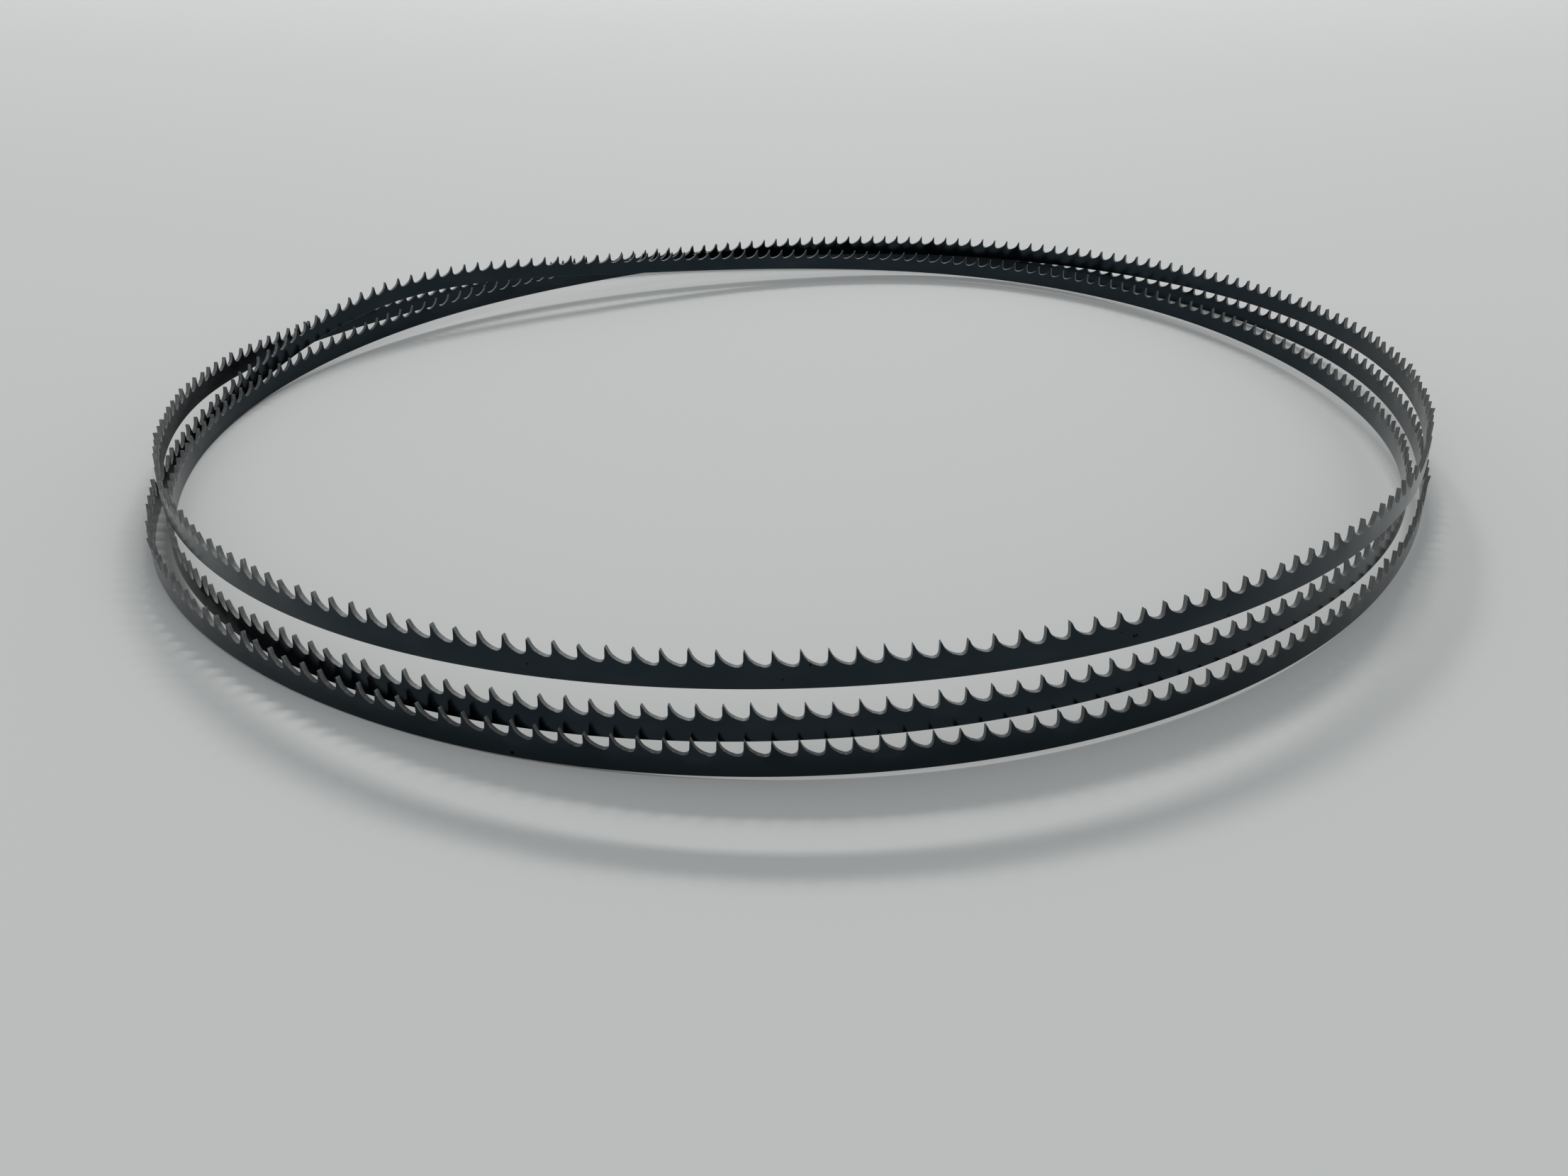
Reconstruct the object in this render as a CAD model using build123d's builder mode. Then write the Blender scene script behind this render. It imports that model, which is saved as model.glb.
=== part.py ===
from build123d import *
import os
from math import cos, pi, radians, sin

os.makedirs("parts", exist_ok=True)

# Band saw blade: one endless toothed steel band, coiled into three loops and
# lying on its back edge with the teeth up. Millimetres, +Z up.

# The band as it is sold: 105 in long, 1/4 in wide, 0.035 in thick, 6 teeth per inch.
band_width = 6.35
band_thickness = 0.889
tooth_pitch = 25.4 / 6
tooth_count = 630

# One tooth, set out along the band from its tip, in shares of the pitch, and down
# from the tips in shares of the gullet depth. The teeth point backwards along the coil.
gullet_depth = 2.65
shoulder_along = 0.24
shoulder_down = 0.64
gullet_along = 0.70
rake_foot_along = 0.955
rake_foot_down = 0.84

# Set: out of every seven teeth one leans inwards, one outwards, five stay straight.
tooth_set = 0.40
set_pattern = (-1, 0, 0, 1, 0, 0, 0)

# The coil. Two strands side by side take one lane; heights are of the back edge
# above the floor, in band widths. The tips lean inwards at the front, by degrees, and
# the first tooth starts a share of a pitch past the left end of the coil.
loops = 3
strand_clearance = 0.111
front_lean = -8.5
first_tooth = 0.123
teeth_per_facet = 2

# Stations at equal angles, counter-clockwise from the left end of the coil:
# (lanes outside the mean radius, height in band widths).
coil_stations = (
    # first loop, the top strand at the front
    (4.3, 1.17), (2.3, 1.64), (0.5, 2.15), (-0.6, 2.49), (0.4, 2.60), (2.9, 2.53),
    (5.2, 2.19), (4.6, 1.49), (1.0, 0.89), (-8.3, 0.94), (-10.7, 0.71), (-5.2, 0.37),
    # second loop, the middle strand
    (1.3, 0.03), (2.8, 0.09), (0.9, 0.50), (-0.6, 0.92), (-0.1, 1.09), (2.3, 1.04),
    (2.8, 0.46), (0.6, 0.27), (-3.8, 0.27), (-11.7, 0.63), (-14.5, 1.26), (-4.6, 1.60),
    # third loop, the bottom strand
    (2.3, 0.31), (5.0, 0.08), (2.3, 0.00), (0.7, 0.09), (1.3, 0.11), (3.9, 0.13),
    (8.6, 0.35), (10.5, 0.02), (2.8, 0.17), (-2.0, 0.32), (1.1, 0.25), (3.9, 0.48),
)

band_length = tooth_count * tooth_pitch
lane = band_thickness + 2 * tooth_set + strand_clearance
facet_count = round(tooth_count / teeth_per_facet)
up = Vector(0, 0, 1)


def coil_path(mean_radius):
    """Closed curve of the back edge, through the stations of the three loops."""
    points = []
    for number, (lanes, widths) in enumerate(coil_stations):
        angle = -pi + 2 * pi * loops * number / len(coil_stations)
        radius = mean_radius + lanes * lane
        points.append((radius * cos(angle), radius * sin(angle), widths * band_width))
    with BuildLine() as path:
        Spline(*points, periodic=True)
    return path.edges()[0]


# The coil closes on the band's own length, so its radius follows from that.
mean_radius = band_length / (2 * pi * loops)
for _ in range(4):
    path = coil_path(mean_radius)
    mean_radius += (band_length - path.length) / (2 * pi * loops)
path = coil_path(mean_radius)

stations = [
    path.position_at((number + first_tooth / teeth_per_facet) / facet_count)
    for number in range(facet_count)
]


def facet_normal(start, end):
    """Outward normal of the flat piece of band between two stations."""
    chord = end - start
    outward = chord.cross(up).normalized()
    front_share = (1 - outward.Y) / 2
    lean = radians(front_lean) * front_share ** 2
    across = up * cos(lean) + outward * sin(lean)
    return chord.cross(across).normalized()


normals = [
    facet_normal(stations[number], stations[(number + 1) % facet_count])
    for number in range(facet_count)
]


def bend(number):
    """Direction up the bend line at a station, and half the band's thickness there."""
    before, after = normals[number - 1], normals[number]
    climb = before.cross(after).normalized()
    if climb.Z < 0:
        climb = -climb
    half = (before + after) * (band_thickness / 2 / (1 + before.dot(after)))
    return climb, half


bends = [bend(number) for number in range(facet_count)]


def triangles(ring):
    """Faces of a ring of points: one flat face, or two triangles for a bent quad."""
    normal = (ring[1] - ring[0]).cross(ring[2] - ring[0]).normalized()
    if len(ring) == 4 and abs((ring[3] - ring[0]).dot(normal)) > flatness:
        rings = (ring[:3], [ring[0], ring[2], ring[3]])
    else:
        rings = (ring,)
    return [Face(Wire.make_polygon(points)) for points in rings]


flatness = 1e-6
gullet_line = band_width - gullet_depth


def facet_faces(number):
    """All outside faces of one flat piece of band with its teeth."""
    after = (number + 1) % facet_count
    start, end = stations[number], stations[after]
    normal = normals[number]
    (climb_start, half_start), (climb_end, half_end) = bends[number], bends[after]

    def point(along, height, side):
        """A point of the facet: share of its length, height, inner or outer side."""
        low = start + climb_start * height + half_start * side
        high = end + climb_end * height + half_end * side
        return low + (high - low) * along

    def folded(place, side, lean):
        """The point leaned out of the facet about the line through the gullets."""
        hinge = point(0, gullet_line, side)
        climb = normal.cross(point(1, gullet_line, side) - hinge).normalized()
        rise = abs((place - hinge).dot(climb))
        return place + normal * (lean * rise / gullet_depth)

    faces = []
    corners = [point(along, 0, side) for along, side in ((0, -1), (0, 1), (1, 1), (1, -1))]
    faces += triangles(corners)
    gullets = [tooth / teeth_per_facet for tooth in range(teeth_per_facet + 1)]
    for side in (-1, 1):
        foot = [point(0, 0, side), point(1, 0, side)]
        line = [point(along, gullet_line, side) for along in gullets]
        faces += triangles(foot + line[::-1])
    for tooth in range(teeth_per_facet):
        lean = set_pattern[(number * teeth_per_facet + tooth) % len(set_pattern)] * tooth_set
        shape = (
            (0, 1),
            (rake_foot_along - gullet_along, rake_foot_down),
            (1 - gullet_along, 0),
            (1 - gullet_along + shoulder_along, shoulder_down),
            (1, 1),
        )
        edges = []
        for side in (-1, 1):
            edges.append([
                folded(
                    point((tooth + along) / teeth_per_facet, band_width - down * gullet_depth, side),
                    side,
                    lean,
                )
                for along, down in shape
            ])
        faces += triangles(edges[0])
        faces += triangles(edges[1])
        for spot in range(len(shape) - 1):
            inner, outer = edges
            faces += triangles([inner[spot], outer[spot], outer[spot + 1], inner[spot + 1]])
    return faces


faces = []
for number in range(facet_count):
    faces += facet_faces(number)
band = Solid(Shell(faces))
box = band.bounding_box()

with BuildPart() as band_saw_blade:
    add(Pos(-box.center().X, -box.center().Y, -box.min.Z) * band)

band_saw_blade.part.label = "band_saw_blade"
export_step(band_saw_blade.part, "parts/band_saw_blade.step")
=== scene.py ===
import math

import bpy
import numpy as np
from mathutils import Matrix, Vector


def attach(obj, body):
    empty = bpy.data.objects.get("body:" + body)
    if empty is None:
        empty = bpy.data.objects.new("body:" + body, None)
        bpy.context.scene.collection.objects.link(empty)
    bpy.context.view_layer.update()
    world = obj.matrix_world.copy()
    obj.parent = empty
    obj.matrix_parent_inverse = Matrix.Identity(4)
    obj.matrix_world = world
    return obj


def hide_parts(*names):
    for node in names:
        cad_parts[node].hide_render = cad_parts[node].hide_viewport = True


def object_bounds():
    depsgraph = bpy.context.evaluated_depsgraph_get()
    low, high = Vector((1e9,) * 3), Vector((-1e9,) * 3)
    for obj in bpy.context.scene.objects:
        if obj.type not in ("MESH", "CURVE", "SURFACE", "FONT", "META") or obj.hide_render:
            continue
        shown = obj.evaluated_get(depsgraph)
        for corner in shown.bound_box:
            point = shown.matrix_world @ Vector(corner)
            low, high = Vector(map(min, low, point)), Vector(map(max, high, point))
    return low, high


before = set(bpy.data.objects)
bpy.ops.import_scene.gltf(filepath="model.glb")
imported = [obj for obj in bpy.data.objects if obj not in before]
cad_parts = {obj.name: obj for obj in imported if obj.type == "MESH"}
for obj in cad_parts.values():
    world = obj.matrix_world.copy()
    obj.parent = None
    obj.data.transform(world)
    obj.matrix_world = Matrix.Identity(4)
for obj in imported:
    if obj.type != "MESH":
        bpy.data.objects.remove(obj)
cad_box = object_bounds()

MM = 0.001

# The band, with the same sizes as the solid model. The stations of the coil are the
# solid model's too, eased by up to 2.5 mm at the back left and a little at the left end.
band_width = 6.35
band_thickness = 0.889
tooth_pitch = 25.4 / 6
tooth_count = 630
gullet_depth = 2.65
tooth_set = 0.40
set_pattern = (-1, 0, 0, 1, 0, 0, 0)
loops = 3
strand_clearance = 0.111
front_lean = -8.5
first_tooth = 0.123
gullet_share = 0.70
mean_radius = 140.026
coil_stations = (
    (4.1, 1.15), (2.3, 1.64), (0.5, 2.15), (-0.6, 2.49), (0.4, 2.60), (2.9, 2.53),
    (5.2, 2.19), (4.6, 1.49), (1.0, 0.89), (-8.3, 0.94), (-10.7, 0.71), (-5.2, 0.37),
    (1.3, 0.03), (2.8, 0.09), (0.9, 0.50), (-0.6, 0.92), (-0.1, 1.09), (2.3, 1.04),
    (2.8, 0.46), (0.6, 0.27), (-4.5, 0.27), (-12.4, 0.63), (-14.1, 1.26), (-3.8, 1.66),
    (2.3, 0.31), (5.0, 0.08), (2.3, 0.00), (0.7, 0.09), (1.3, 0.11), (3.9, 0.13),
    (8.6, 0.35), (10.5, 0.02), (3.3, 0.17), (-2.0, 0.30), (0.4, 0.10), (2.5, 0.32),
)

# One tooth: share of the pitch along the band, share of the gullet depth below the tips.
# The front of the tooth is nearly upright and its back falls away in a hollow curve.
tooth_profile = (
    (0.000, 0.00), (0.040, 0.05), (0.095, 0.24), (0.155, 0.43), (0.240, 0.60),
    (0.340, 0.73), (0.460, 0.85), (0.580, 0.93), (0.700, 0.99), (0.800, 0.99),
    (0.900, 0.93), (0.955, 0.81), (0.980, 0.60), (0.988, 0.30), (0.992, 0.07),
)
back_edge_round = 0.09
gullet_edge_round = 0.03
fold_below_gullet = 0.15
points_per_span = 400
tangent_reach = 1.0
stretch_from_share = 0.76
outer_face_offset = 20.0
sharp_angle = 35


def closed_spline(points):
    """Second derivatives and knots of the smooth closed curve through the points."""
    spans = np.linalg.norm(np.roll(points, -1, axis=0) - points, axis=1)
    count = len(points)
    system = np.zeros((count, count))
    right_side = np.zeros((count, 3))
    for row in range(count):
        before, after = spans[row - 1], spans[row]
        system[row, row - 1] = before
        system[row, row] = 2 * (before + after)
        system[row, (row + 1) % count] = after
        right_side[row] = 6 * (
            (points[(row + 1) % count] - points[row]) / after
            - (points[row] - points[row - 1]) / before
        )
    return spans, np.linalg.solve(system, right_side)


def spline_points(points, spans, bends, per_span):
    """Dense points along the closed curve."""
    dense = []
    share = np.arange(per_span)[:, None] / per_span
    for row in range(len(points)):
        after = (row + 1) % len(points)
        span = spans[row]
        dense.append(
            points[row] * (1 - share)
            + points[after] * share
            + span**2 / 6 * (
                ((1 - share) ** 3 - (1 - share)) * bends[row]
                + (share**3 - share) * bends[after]
            )
        )
    return np.concatenate(dense)


lane = band_thickness + 2 * tooth_set + strand_clearance
angles = -math.pi + 2 * math.pi * loops * np.arange(len(coil_stations)) / len(coil_stations)
radii = mean_radius + np.array([lanes for lanes, _ in coil_stations]) * lane
heights = np.array([widths for _, widths in coil_stations]) * band_width
station_points = np.stack([radii * np.cos(angles), radii * np.sin(angles), heights], axis=1)
spans, bends = closed_spline(station_points)
dense = spline_points(station_points, spans, bends, points_per_span)
steps = np.linalg.norm(np.roll(dense, -1, axis=0) - dense, axis=1)
run = np.concatenate([[0], np.cumsum(steps)])
band_length = run[-1]
loop_closed = np.concatenate([dense, dense[:1]])


def on_path(distance):
    """Points of the back edge at distances along the band."""
    wrapped = np.mod(distance, band_length)
    return np.stack([np.interp(wrapped, run, loop_closed[:, axis]) for axis in range(3)], axis=1)


# Columns of the mesh: one at each point of each tooth's profile, in order along the band.
profile = np.array(tooth_profile)
teeth = np.repeat(np.arange(tooth_count), len(profile))
# The first gullet lies just past the path's start, and the first tip comes after it.
first_tip = first_tooth + 1 - gullet_share
along = (teeth + np.tile(profile[:, 0], tooth_count) + first_tip) * tooth_pitch
# The curve is a hair shorter than the band, and the teeth at the back of the last loop take that up.
nominal = tooth_count * tooth_pitch
last_front = nominal * stretch_from_share
past_end = 10
along = np.interp(
    along,
    (0, last_front, nominal, nominal + past_end),
    (0, last_front, band_length, band_length + past_end),
)
down = np.tile(profile[:, 1], tooth_count)
places = on_path(along)
tangents = on_path(along + tangent_reach) - on_path(along - tangent_reach)
tangents /= np.linalg.norm(tangents, axis=1)[:, None]
outward = np.stack([tangents[:, 1], -tangents[:, 0], np.zeros(len(tangents))], axis=1)
outward /= np.linalg.norm(outward, axis=1)[:, None]
lean = np.radians(front_lean) * ((1 - outward[:, 1]) / 2) ** 2
across = np.cos(lean)[:, None] * np.array([0, 0, 1]) + np.sin(lean)[:, None] * outward
face_out = np.cross(tangents, across)
face_out /= np.linalg.norm(face_out, axis=1)[:, None]
climb = np.cross(face_out, tangents)
climb *= np.sign(climb[:, 2])[:, None]

# Which tooth a column belongs to when the set folds it: the gullet's far half is the next one.
profile_share = np.tile(profile[:, 0], tooth_count)
owner = teeth + (profile_share > gullet_share)
set_of = np.array(set_pattern)[owner % len(set_pattern)] * tooth_set

top = band_width - down * gullet_depth
fold_line = band_width - gullet_depth - fold_below_gullet
half = band_thickness / 2
rows = (
    (-half + back_edge_round, 0 * top),
    (-half, 0 * top + back_edge_round),
    (-half, 0 * top + fold_line),
    (-half, top - gullet_edge_round),
    (-half + gullet_edge_round, top),
    (half - gullet_edge_round, top),
    (half, top - gullet_edge_round),
    (half, 0 * top + fold_line),
    (half, 0 * top + back_edge_round),
    (half - back_edge_round, 0 * top),
)
rings = []
for side, height in rows:
    rise = np.maximum(0, height - fold_line) / (band_width - fold_line)
    offset = side + set_of * rise
    rings.append(places + climb * height[:, None] + face_out * offset[:, None])
rings = np.stack(rings, axis=1)
column_count, ring_size = rings.shape[:2]

# Seat the mesh in the frame: same middle and same floor as the solid model.
corners = np.array([rings.reshape(-1, 3).min(axis=0), rings.reshape(-1, 3).max(axis=0)])
cad_low = np.array(cad_box[0]) / MM
cad_high = np.array(cad_box[1]) / MM
seat = (cad_low + cad_high) / 2 - corners.mean(axis=0)
seat[2] = cad_low[2] - corners[0][2]
rings = rings + seat

# The tops of the teeth and gullets are the ground faces, and the rest of the band is blued.
top_spots = (3, 4, 5)
faces = []
ground = []
for column in range(column_count):
    after = (column + 1) % column_count
    for spot in range(ring_size):
        nxt = (spot + 1) % ring_size
        faces.append((
            column * ring_size + spot,
            after * ring_size + spot,
            after * ring_size + nxt,
            column * ring_size + nxt,
        ))
        ground.append(1 if spot in top_spots else 0)

mesh = bpy.data.meshes.new("toothed_band")
mesh.from_pydata((rings.reshape(-1, 3) * MM).tolist(), [], faces)
mesh.polygons.foreach_set("material_index", ground)
mesh.polygons.foreach_set("use_smooth", [True] * len(faces))

# Lengths along and across the band, in metres, for the brushing and the grinding marks.
uv_layer = mesh.uv_layers.new(name="band_run")
heights_of = np.stack([height for _, height in rows], axis=1)
uv = np.zeros((len(faces) * 4, 2))
first_outer_spot = ring_size // 2
column_index = np.repeat(np.arange(column_count), ring_size)
after_index = (column_index + 1) % column_count
spot_index = np.tile(np.arange(ring_size), column_count)
next_spot = (spot_index + 1) % ring_size
on_outer_face = np.arange(ring_size) >= first_outer_spot
across_run = heights_of + on_outer_face * outer_face_offset
run_here = along[column_index]
run_after = along[after_index] + (after_index == 0) * band_length
uv[0::4] = np.stack([run_here, across_run[column_index, spot_index]], axis=1)
uv[1::4] = np.stack([run_after, across_run[after_index, spot_index]], axis=1)
uv[2::4] = np.stack([run_after, across_run[after_index, next_spot]], axis=1)
uv[3::4] = np.stack([run_here, across_run[column_index, next_spot]], axis=1)
uv_layer.data.foreach_set("uv", (uv * MM).ravel())
mesh.update()
mesh.validate()
mesh.set_sharp_from_angle(angle=math.radians(sharp_angle))

band = bpy.data.objects.new("toothed_band", mesh)
bpy.context.scene.collection.objects.link(band)


def new_material(name):
    """A material with its nodes, links and surface shader."""
    material = bpy.data.materials.new(name)
    material.use_nodes = True
    nodes = material.node_tree.nodes
    return material, nodes, material.node_tree.links, nodes["Principled BSDF"]


def noise(nodes, links, source, scale, stretch, detail=3.0, roughness=0.55):
    """Noise over the band's own lengths, stretched along or across it."""
    mapping = nodes.new("ShaderNodeMapping")
    mapping.inputs["Scale"].default_value = stretch
    links.new(source, mapping.inputs["Vector"])
    texture = nodes.new("ShaderNodeTexNoise")
    texture.inputs["Scale"].default_value = scale
    texture.inputs["Detail"].default_value = detail
    texture.inputs["Roughness"].default_value = roughness
    links.new(mapping.outputs["Vector"], texture.inputs["Vector"])
    return texture.outputs["Fac"]


def ramp(nodes, links, source, stops):
    """Colours or values laid out over a source from 0 to 1."""
    node = nodes.new("ShaderNodeValToRGB")
    elements = node.color_ramp.elements
    elements[0].position, elements[0].color = stops[0][0], (*stops[0][1], 1)
    elements[1].position, elements[1].color = stops[-1][0], (*stops[-1][1], 1)
    for place, color in stops[1:-1]:
        elements.new(place).color = (*color, 1)
    links.new(source, node.inputs["Fac"])
    return node.outputs["Color"]


def spread(nodes, links, source, low, high):
    """A value from low to high as the source goes from 0 to 1."""
    node = nodes.new("ShaderNodeMapRange")
    node.inputs["To Min"].default_value = low
    node.inputs["To Max"].default_value = high
    links.new(source, node.inputs["Value"])
    return node.outputs["Result"]


def blend_color(nodes, links, mask, color, other):
    """The colour, going over to the other one where the mask is 1."""
    node = nodes.new("ShaderNodeMix")
    node.data_type = "RGBA"
    links.new(mask, node.inputs["Factor"])
    links.new(color, node.inputs[6])
    node.inputs[7].default_value = (*other, 1)
    return node.outputs[2]


def spot(nodes, links, source, run, height, size):
    """A small round mark at a place along and across the band, soft over its outer half."""
    away = nodes.new("ShaderNodeVectorMath")
    away.operation = "DISTANCE"
    links.new(source, away.inputs[0])
    away.inputs[1].default_value = (run * MM, height * MM, 0)
    node = nodes.new("ShaderNodeMapRange")
    node.inputs["From Min"].default_value = 0.5 * size * MM
    node.inputs["From Max"].default_value = size * MM
    node.inputs["To Min"].default_value = 1.0
    node.inputs["To Max"].default_value = 0.0
    links.new(away.outputs["Value"], node.inputs["Value"])
    return node.outputs["Result"]


# Dark spots and nicks on the outer face: length along the band, height, size.
face_spots = (
    (166.9, 0.15, 0.28), (183.7, 2.12, 0.22), (187.6, 0.15, 0.28), (223.4, 1.63, 0.18),
    (227.6, 3.95, 0.24), (277.3, 2.93, 0.20), (279.7, 1.76, 0.34), (280.2, 1.80, 0.30),
    (298.8, 0.55, 0.36), (1852.8, 2.77, 0.42), (1928.3, 0.81, 0.44), (1969.8, 0.12, 0.20),
)


def blued_steel():
    """Dark satin steel, brushed along the band, with pale specks and the dark spots."""
    material, nodes, links, shader = new_material("blued_steel")
    uv_node = nodes.new("ShaderNodeUVMap")
    uv_node.uv_map = "band_run"
    run_coords = uv_node.outputs["UV"]
    streaks = noise(nodes, links, run_coords, 1.0, (120, 9000, 1))
    clouds = noise(nodes, links, run_coords, 1.0, (60, 160, 1), 4.0)
    color = ramp(nodes, links, clouds, (
        (0.25, (0.019, 0.027, 0.032)),
        (0.55, (0.023, 0.032, 0.038)),
        (0.80, (0.030, 0.038, 0.046)),
    ))
    specks = noise(nodes, links, run_coords, 1.0, (2600, 2600, 1), 1.0)
    fleck_mask = ramp(nodes, links, specks, (
        (0.71, (0.0, 0.0, 0.0)),
        (0.78, (0.45, 0.45, 0.45)),
    ))
    color = blend_color(nodes, links, fleck_mask, color, (0.055, 0.065, 0.072))
    for run, height, size in face_spots:
        mask = spot(nodes, links, run_coords, run, height + outer_face_offset, size)
        color = blend_color(nodes, links, mask, color, (0.002, 0.003, 0.004))
    links.new(color, shader.inputs["Base Color"])
    links.new(spread(nodes, links, streaks, 0.14, 0.26), shader.inputs["Roughness"])
    shader.inputs["Metallic"].default_value = 1.0
    bump = nodes.new("ShaderNodeBump")
    bump.inputs["Strength"].default_value = 0.12
    bump.inputs["Distance"].default_value = 0.00002
    links.new(streaks, bump.inputs["Height"])
    links.new(bump.outputs["Normal"], shader.inputs["Normal"])
    return material


def ground_steel():
    """Dull grey ground steel, scratched across the edge, with flecks of bare metal."""
    material, nodes, links, shader = new_material("ground_gullets")
    uv_node = nodes.new("ShaderNodeUVMap")
    uv_node.uv_map = "band_run"
    scratches = noise(nodes, links, uv_node.outputs["UV"], 1.0, (6000, 500, 1), 4.0)
    color = ramp(nodes, links, scratches, (
        (0.25, (0.085, 0.088, 0.087)),
        (0.60, (0.135, 0.138, 0.135)),
        (0.85, (0.240, 0.242, 0.234)),
    ))
    flecks = noise(nodes, links, uv_node.outputs["UV"], 1.0, (900, 2200, 1), 2.0)
    bare_metal = ramp(nodes, links, flecks, (
        (0.56, (0.0, 0.0, 0.0)),
        (0.64, (0.9, 0.9, 0.9)),
    ))
    color = blend_color(nodes, links, bare_metal, color, (0.50, 0.50, 0.49))
    links.new(color, shader.inputs["Base Color"])
    links.new(spread(nodes, links, scratches, 0.55, 0.75), shader.inputs["Roughness"])
    shader.inputs["Metallic"].default_value = 0.4
    shader.inputs["Specular IOR Level"].default_value = 0.2
    return material


band.data.materials.append(blued_steel())
band.data.materials.append(ground_steel())
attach(band, "root")
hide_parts("band_saw_blade")

# The table top: a pale plain sheet with a faint sheen.
floor_size = 20.0
floor_mesh = bpy.data.meshes.new("table_top")
edge = floor_size / 2
floor_mesh.from_pydata(
    [(-edge, -edge, 0), (edge, -edge, 0), (edge, edge, 0), (-edge, edge, 0)], [], [(0, 1, 2, 3)]
)
floor = bpy.data.objects.new("table_top", floor_mesh)
bpy.context.scene.collection.objects.link(floor)
floor_material, nodes, links, shader = new_material("pale_sheet")
shader.inputs["Base Color"].default_value = (0.562, 0.572, 0.556, 1)
shader.inputs["Roughness"].default_value = 0.75
shader.inputs["Specular IOR Level"].default_value = 0.12
floor.data.materials.append(floor_material)

# The camera, as fitted to the photograph: place in the coil's frame, before the mesh was seated.
photo_width = 2212
focal_px = 1644.0
sensor_width = 36.0
camera_place = Vector((-1.203, -280.597, 120.976))
camera_pitch = math.radians(31.696)
camera_yaw = math.radians(0.131)
camera_roll = math.radians(0.329)
camera_data = bpy.data.cameras.new("camera")
camera_data.sensor_width = sensor_width
camera_data.sensor_fit = "HORIZONTAL"
camera_data.lens = focal_px / photo_width * sensor_width
camera_data.clip_start = 0.01
camera_data.clip_end = 50
camera = bpy.data.objects.new("camera", camera_data)
bpy.context.scene.collection.objects.link(camera)
turn = (
    Matrix.Rotation(-camera_yaw, 4, "Z")
    @ Matrix.Rotation(math.pi / 2 - camera_pitch, 4, "X")
    @ Matrix.Rotation(-camera_roll, 4, "Z")
)
camera.matrix_world = Matrix.Translation((camera_place + Vector(seat)) * MM) @ turn
bpy.context.scene.camera = camera


def area_lamp(name, place, target, size, power):
    """A flat lamp of a size in metres and a power in watts, turned to a target."""
    data = bpy.data.lights.new(name, "AREA")
    data.shape = "RECTANGLE"
    data.size, data.size_y = size
    data.energy = power
    lamp = bpy.data.objects.new(name, data)
    bpy.context.scene.collection.objects.link(lamp)
    lamp.location = place
    direction = Vector(target) - Vector(place)
    lamp.rotation_euler = direction.to_track_quat("-Z", "Y").to_euler()
    return lamp


# A long narrow window behind and above, and a soft fill from all round.
window_place = (0.1, 3.2, 2.78)
window_size = (1.9, 0.20)
window_power = 84
area_lamp("window", window_place, (0, 0, 0), window_size, window_power)
world = bpy.data.worlds.new("room")
bpy.context.scene.world = world
world.use_nodes = True
room_light = world.node_tree.nodes["Background"]
room_light.inputs["Color"].default_value = (0.95, 0.97, 1.0, 1)
room_light.inputs["Strength"].default_value = 0.64
bpy.context.scene.view_settings.view_transform = "Standard"
